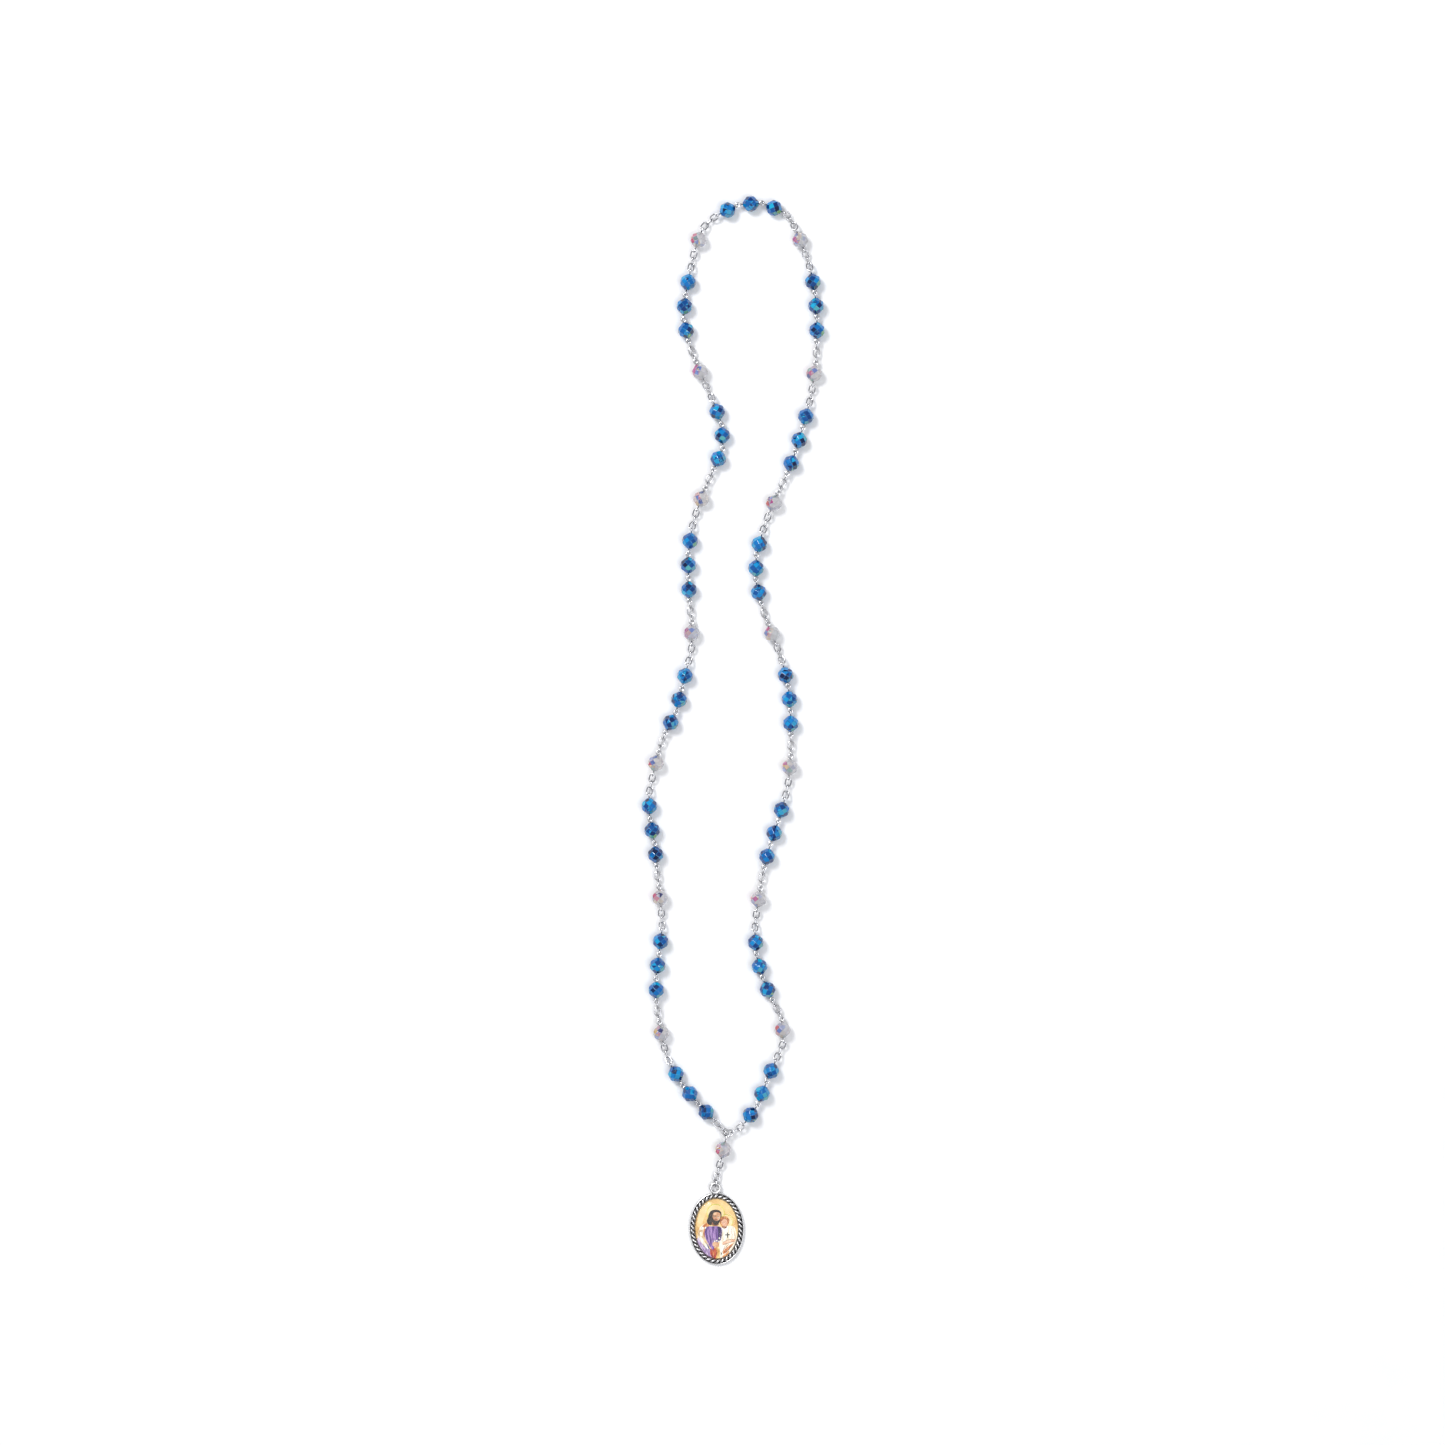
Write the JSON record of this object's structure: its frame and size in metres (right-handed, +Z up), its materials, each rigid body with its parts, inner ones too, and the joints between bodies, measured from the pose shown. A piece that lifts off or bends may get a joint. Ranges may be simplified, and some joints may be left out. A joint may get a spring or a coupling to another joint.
{
  "type": "rosary",
  "caption": "Rosary laid flat: faceted glass beads on wire pins and oval links in a closed loop, with a drop bead, ring and oval picture medal.",
  "frame": {"origin": "centre of the outline on the table the rosary lies on", "axes": "+X right, +Y towards the top of the loop, away from the medal, +Z up from the table"},
  "size_m": [0.0688, 0.4004, 0.0059],
  "materials": {
    "blue_glass": "faceted sapphire blue glass with a rainbow coat",
    "clear_glass": "faceted clear glass with a rainbow coat",
    "silver_wire": "bright silver-plated wire",
    "medal_metal": "oxidised silver-tone casting, dark in the recesses",
    "picture_print": "glossy colour print",
    "dome_clear": "clear polished resin dome"
  },
  "bodies": {
    "left_12": {"chain_left_12": "silver_wire", "blue_beads_01": "blue_glass"},
    "left_11": {"chain_left_11": "silver_wire", "blue_beads_02": "blue_glass"},
    "left_10": {"chain_left_10": "silver_wire"},
    "left_09": {"chain_left_09": "silver_wire", "blue_beads_03": "blue_glass"},
    "left_08": {"chain_left_08": "silver_wire"},
    "left_07": {"chain_left_07": "silver_wire", "blue_beads_04": "blue_glass"},
    "left_06": {"chain_left_06": "silver_wire"},
    "left_05": {"chain_left_05": "silver_wire", "blue_beads_05": "blue_glass"},
    "left_04": {"chain_left_04": "silver_wire"},
    "left_03": {"chain_left_03": "silver_wire", "blue_beads_06": "blue_glass"},
    "left_02": {"chain_left_02": "silver_wire"},
    "left_01": {"chain_left_01": "silver_wire", "blue_beads_07": "blue_glass"},
    "crown": {"chain_crown": "silver_wire", "blue_beads_08": "blue_glass"},
    "right_01": {"chain_right_01": "silver_wire", "blue_beads_09": "blue_glass"},
    "right_02": {"chain_right_02": "silver_wire"},
    "right_03": {"chain_right_03": "silver_wire", "blue_beads_10": "blue_glass"},
    "right_04": {"chain_right_04": "silver_wire"},
    "right_05": {"chain_right_05": "silver_wire", "blue_beads_11": "blue_glass"},
    "right_06": {"chain_right_06": "silver_wire"},
    "right_07": {"chain_right_07": "silver_wire", "blue_beads_12": "blue_glass"},
    "right_08": {"chain_right_08": "silver_wire"},
    "right_09": {"chain_right_09": "silver_wire", "blue_beads_13": "blue_glass"},
    "right_10": {"chain_right_10": "silver_wire"},
    "right_11": {"chain_right_11": "silver_wire", "blue_beads_14": "blue_glass"},
    "right_12": {"chain_right_12": "silver_wire", "blue_beads_15": "blue_glass"},
    "drop": {"chain_drop": "silver_wire"},
    "ring": {"medal_ring": "silver_wire"},
    "medal": {"medal_frame": "medal_metal", "medal_picture": "picture_print", "medal_dome": "dome_clear"},
    "crystal_01": {"crystal_01": "clear_glass"},
    "crystal_02": {"crystal_02": "clear_glass"},
    "crystal_03": {"crystal_03": "clear_glass"},
    "crystal_04": {"crystal_04": "clear_glass"},
    "crystal_05": {"crystal_05": "clear_glass"},
    "crystal_06": {"crystal_06": "clear_glass"},
    "crystal_07": {"crystal_07": "clear_glass"},
    "crystal_08": {"crystal_08": "clear_glass"},
    "crystal_09": {"crystal_09": "clear_glass"},
    "crystal_10": {"crystal_10": "clear_glass"},
    "crystal_11": {"crystal_11": "clear_glass"},
    "crystal_12": {"crystal_12": "clear_glass"},
    "crystal_13": {"crystal_13": "clear_glass"},
    "crystal_14": {"crystal_14": "clear_glass"},
    "crystal_15": {"crystal_15": "clear_glass"}
  },
  "joints": [
    {"name": "fold_right_01", "type": "hinge", "parent": "crown", "child": "right_01", "pos_m": [0.02732, 0.17669, 0.00158], "axis": [-1, -0.0006, -0.0003], "range_deg": [-60, 60]},
    {"name": "fold_left_01", "type": "hinge", "parent": "crown", "child": "left_01", "pos_m": [-0.0149, 0.17666, 0.00157], "axis": [-1, -0.0006, -0.0003], "range_deg": [-60, 60]},
    {"name": "fold_right_02", "type": "hinge", "parent": "right_01", "child": "right_02", "pos_m": [0.03113, 0.13997, 0.00186], "axis": [1, -0.0068, 0], "range_deg": [-60, 60]},
    {"name": "fold_left_02", "type": "hinge", "parent": "left_01", "child": "left_02", "pos_m": [-0.01526, 0.14028, 0.00186], "axis": [1, -0.0068, 0], "range_deg": [-60, 60]},
    {"name": "fold_right_03", "type": "hinge", "parent": "right_02", "child": "right_03", "pos_m": [0.02944, 0.12629, 0.00156], "axis": [-0.9995, 0.0328, 0.0009], "range_deg": [-60, 60]},
    {"name": "fold_left_03", "type": "hinge", "parent": "left_02", "child": "left_03", "pos_m": [-0.00989, 0.12758, 0.0016], "axis": [-0.9995, 0.0328, 0.0009], "range_deg": [-60, 60]},
    {"name": "fold_right_04", "type": "hinge", "parent": "right_03", "child": "right_04", "pos_m": [0.01824, 0.09093, 0.00186], "axis": [0.9981, -0.0611, 0], "range_deg": [-60, 60]},
    {"name": "fold_left_04", "type": "hinge", "parent": "left_03", "child": "left_04", "pos_m": [-0.00921, 0.09262, 0.00186], "axis": [0.9981, -0.0611, 0], "range_deg": [-60, 60]},
    {"name": "fold_right_05", "type": "hinge", "parent": "right_04", "child": "right_05", "pos_m": [0.01269, 0.07831, 0.00158], "axis": [-0.9986, 0.0535, -0.0002], "range_deg": [-60, 60]},
    {"name": "fold_left_05", "type": "hinge", "parent": "left_04", "child": "left_05", "pos_m": [-0.01414, 0.07975, 0.00157], "axis": [-0.9986, 0.0535, -0.0002], "range_deg": [-60, 60]},
    {"name": "fold_right_06", "type": "hinge", "parent": "right_05", "child": "right_06", "pos_m": [0.01183, 0.04217, 0.00186], "axis": [0.9997, -0.0255, 0], "range_deg": [-60, 60]},
    {"name": "fold_left_06", "type": "hinge", "parent": "left_05", "child": "left_06", "pos_m": [-0.01593, 0.04288, 0.00186], "axis": [0.9997, -0.0255, 0], "range_deg": [-60, 60]},
    {"name": "fold_right_07", "type": "hinge", "parent": "right_06", "child": "right_07", "pos_m": [0.01676, 0.02928, 0.00158], "axis": [-1, -0.0044, -0.0005], "range_deg": [-60, 60]},
    {"name": "fold_left_07", "type": "hinge", "parent": "left_06", "child": "left_07", "pos_m": [-0.01573, 0.02913, 0.00156], "axis": [-1, -0.0044, -0.0005], "range_deg": [-60, 60]},
    {"name": "fold_right_08", "type": "hinge", "parent": "right_07", "child": "right_08", "pos_m": [0.02162, -0.00731, 0.00186], "axis": [0.9997, -0.0244, 0], "range_deg": [-60, 60]},
    {"name": "fold_left_08", "type": "hinge", "parent": "left_07", "child": "left_08", "pos_m": [-0.02697, -0.00612, 0.00186], "axis": [0.9997, -0.0244, 0], "range_deg": [-60, 60]},
    {"name": "fold_right_09", "type": "hinge", "parent": "right_08", "child": "right_09", "pos_m": [0.02049, -0.02103, 0.00156], "axis": [-0.9995, 0.031, 0.0001], "range_deg": [-60, 60]},
    {"name": "fold_left_09", "type": "hinge", "parent": "left_08", "child": "left_09", "pos_m": [-0.0305, -0.01945, 0.00156], "axis": [-0.9995, 0.031, 0.0001], "range_deg": [-60, 60]},
    {"name": "fold_right_10", "type": "hinge", "parent": "right_09", "child": "right_10", "pos_m": [0.01068, -0.05684, 0.00186], "axis": [0.9999, -0.0144, 0], "range_deg": [-60, 60]},
    {"name": "fold_left_10", "type": "hinge", "parent": "left_09", "child": "left_10", "pos_m": [-0.02819, -0.05629, 0.00186], "axis": [0.9999, -0.0144, 0], "range_deg": [-60, 60]},
    {"name": "fold_right_11", "type": "hinge", "parent": "right_10", "child": "right_11", "pos_m": [0.00859, -0.07046, 0.00156], "axis": [-0.9999, 0.0131, 0], "range_deg": [-60, 60]},
    {"name": "fold_left_11", "type": "hinge", "parent": "left_10", "child": "left_11", "pos_m": [-0.02683, -0.07, 0.00156], "axis": [-0.9999, 0.0131, 0], "range_deg": [-60, 60]},
    {"name": "fold_right_12", "type": "hinge", "parent": "right_11", "child": "right_12", "pos_m": [0.01676, -0.106, 0.00186], "axis": [0.9997, 0.0225, 0], "range_deg": [-60, 60]},
    {"name": "fold_left_12", "type": "hinge", "parent": "left_11", "child": "left_12", "pos_m": [-0.0282, -0.10701, 0.00186], "axis": [0.9997, 0.0225, 0], "range_deg": [-60, 60]},
    {"name": "drop_swing", "type": "hinge", "parent": "right_12", "child": "drop", "pos_m": [-0.00253, -0.15218, 0.00281], "axis": [-0.9724, 0.2334, 0], "range_deg": [-60, 60]},
    {"name": "ring_swing", "type": "hinge", "parent": "drop", "child": "ring", "pos_m": [-0.00659, -0.16909, 0.00141], "axis": [-0.9724, 0.2334, 0], "range_deg": [-45, 45]},
    {"name": "medal_swing", "type": "hinge", "parent": "ring", "child": "medal", "pos_m": [-0.00677, -0.16982, 0.0015], "axis": [-0.9995, -0.0332, 0], "range_deg": [-60, 60]},
    {"name": "crystal_01_spin", "type": "hinge", "parent": "left_12", "child": "crystal_01", "pos_m": [-0.02693, -0.11343, 0.00281], "axis": [-0.1981, 0.9802, 0], "continuous": true},
    {"name": "crystal_02_spin", "type": "hinge", "parent": "left_10", "child": "crystal_02", "pos_m": [-0.02738, -0.06278, 0.00281], "axis": [-0.0988, 0.9951, 0], "continuous": true},
    {"name": "crystal_03_spin", "type": "hinge", "parent": "left_08", "child": "crystal_03", "pos_m": [-0.02896, -0.01239, 0.00281], "axis": [0.244, 0.9698, 0], "continuous": true},
    {"name": "crystal_04_spin", "type": "hinge", "parent": "left_06", "child": "crystal_04", "pos_m": [-0.01554, 0.03636, 0.00281], "axis": [-0.0112, 0.9999, 0], "continuous": true},
    {"name": "crystal_05_spin", "type": "hinge", "parent": "left_04", "child": "crystal_05", "pos_m": [-0.01198, 0.08662, 0.00281], "axis": [0.353, 0.9356, 0], "continuous": true},
    {"name": "crystal_06_spin", "type": "hinge", "parent": "left_02", "child": "crystal_06", "pos_m": [-0.01236, 0.13431, 0.00281], "axis": [-0.3956, 0.9184, 0], "continuous": true},
    {"name": "crystal_07_spin", "type": "hinge", "parent": "crown", "child": "crystal_07", "pos_m": [-0.01298, 0.1836, 0.00281], "axis": [0.3386, 0.9409, 0], "continuous": true},
    {"name": "crystal_08_spin", "type": "hinge", "parent": "crown", "child": "crystal_08", "pos_m": [0.02509, 0.18352, 0.00281], "axis": [0.3672, -0.9301, 0], "continuous": true},
    {"name": "crystal_09_spin", "type": "hinge", "parent": "right_02", "child": "crystal_09", "pos_m": [0.03034, 0.13347, 0.00281], "axis": [-0.1251, -0.9921, 0], "continuous": true},
    {"name": "crystal_10_spin", "type": "hinge", "parent": "right_04", "child": "crystal_10", "pos_m": [0.01516, 0.08507, 0.00281], "axis": [-0.3999, -0.9166, 0], "continuous": true},
    {"name": "crystal_11_spin", "type": "hinge", "parent": "right_06", "child": "crystal_11", "pos_m": [0.01452, 0.03611, 0.00281], "axis": [0.3593, -0.9332, 0], "continuous": true},
    {"name": "crystal_12_spin", "type": "hinge", "parent": "right_08", "child": "crystal_12", "pos_m": [0.02119, -0.01383, 0.00281], "axis": [-0.0871, -0.9962, 0], "continuous": true},
    {"name": "crystal_13_spin", "type": "hinge", "parent": "right_10", "child": "crystal_13", "pos_m": [0.0095, -0.06329, 0.00281], "axis": [-0.1502, -0.9887, 0], "continuous": true},
    {"name": "crystal_14_spin", "type": "hinge", "parent": "right_12", "child": "crystal_14", "pos_m": [0.01845, -0.11221, 0.00281], "axis": [0.083, -0.9966, 0], "continuous": true},
    {"name": "crystal_15_spin", "type": "hinge", "parent": "drop", "child": "crystal_15", "pos_m": [-0.00371, -0.1571, 0.00281], "axis": [-0.2334, -0.9724, 0], "continuous": true}
  ],
  "couplings": [
    {"joint": "fold_left_01", "follows": "fold_right_01", "ratio": 1},
    {"joint": "fold_left_02", "follows": "fold_right_02", "ratio": 1},
    {"joint": "fold_left_03", "follows": "fold_right_03", "ratio": 1},
    {"joint": "fold_left_04", "follows": "fold_right_04", "ratio": 1},
    {"joint": "fold_left_05", "follows": "fold_right_05", "ratio": 1},
    {"joint": "fold_left_06", "follows": "fold_right_06", "ratio": 1},
    {"joint": "fold_left_07", "follows": "fold_right_07", "ratio": 1},
    {"joint": "fold_left_08", "follows": "fold_right_08", "ratio": 1},
    {"joint": "fold_left_09", "follows": "fold_right_09", "ratio": 1},
    {"joint": "fold_left_10", "follows": "fold_right_10", "ratio": 1},
    {"joint": "fold_left_11", "follows": "fold_right_11", "ratio": 1},
    {"joint": "fold_left_12", "follows": "fold_right_12", "ratio": 1}
  ]
}
